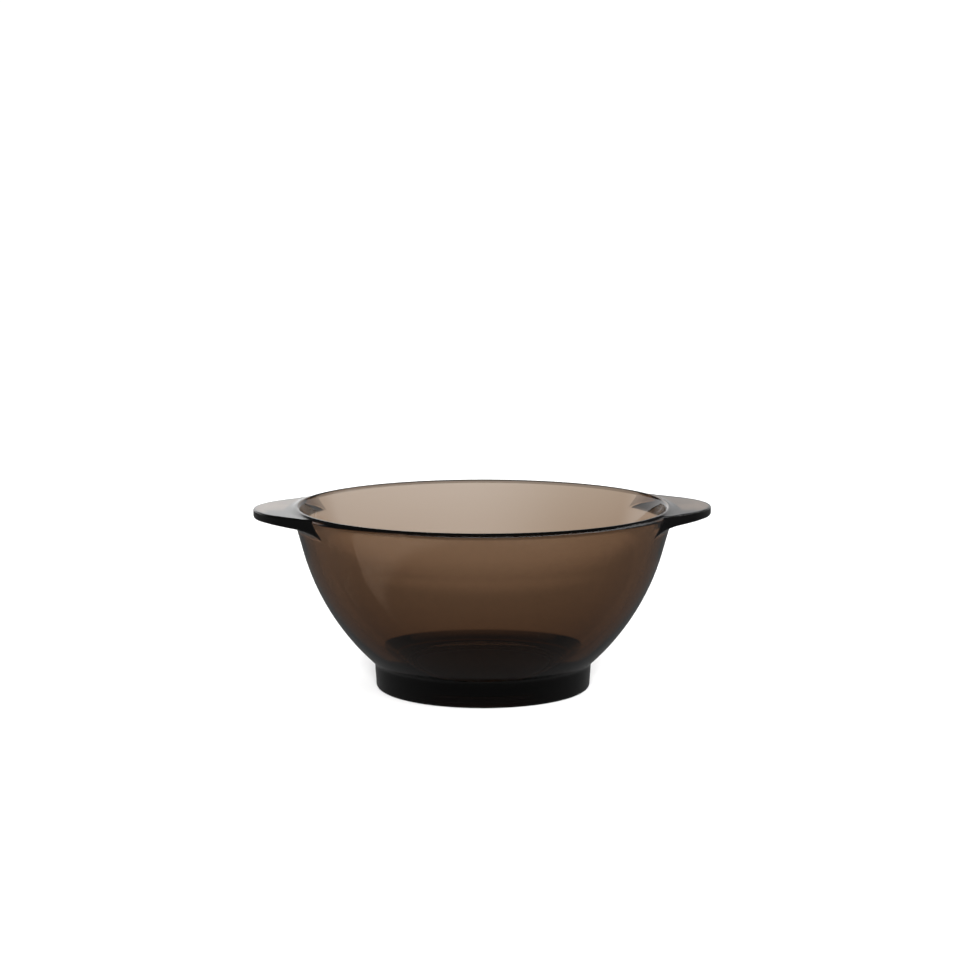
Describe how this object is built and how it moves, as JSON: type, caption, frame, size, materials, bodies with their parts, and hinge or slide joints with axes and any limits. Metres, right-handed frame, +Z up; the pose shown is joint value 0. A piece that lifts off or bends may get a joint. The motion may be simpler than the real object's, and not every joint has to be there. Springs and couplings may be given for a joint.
{
  "type": "lugged glass bowl",
  "caption": "Round smoked-glass mixing bowl with a rounded rim, a flat lug on each side, curved walls and a low foot ring.",
  "frame": {"origin": "centre of the foot ring on the table plane, at the bottom of the bounding box", "axes": "+Z up along the bowl's axis, X from lug tip to lug tip, Y across the bowl"},
  "size_m": [0.158, 0.1316, 0.0635],
  "materials": {
    "glass": "clear smoked brown, glossy"
  },
  "bodies": {
    "root": {"foot_ring": "glass", "floor_disc": "glass", "lower_wall": "glass", "upper_wall": "glass", "rim_band": "glass", "left_lug": "glass", "right_lug": "glass"}
  },
  "joints": []
}
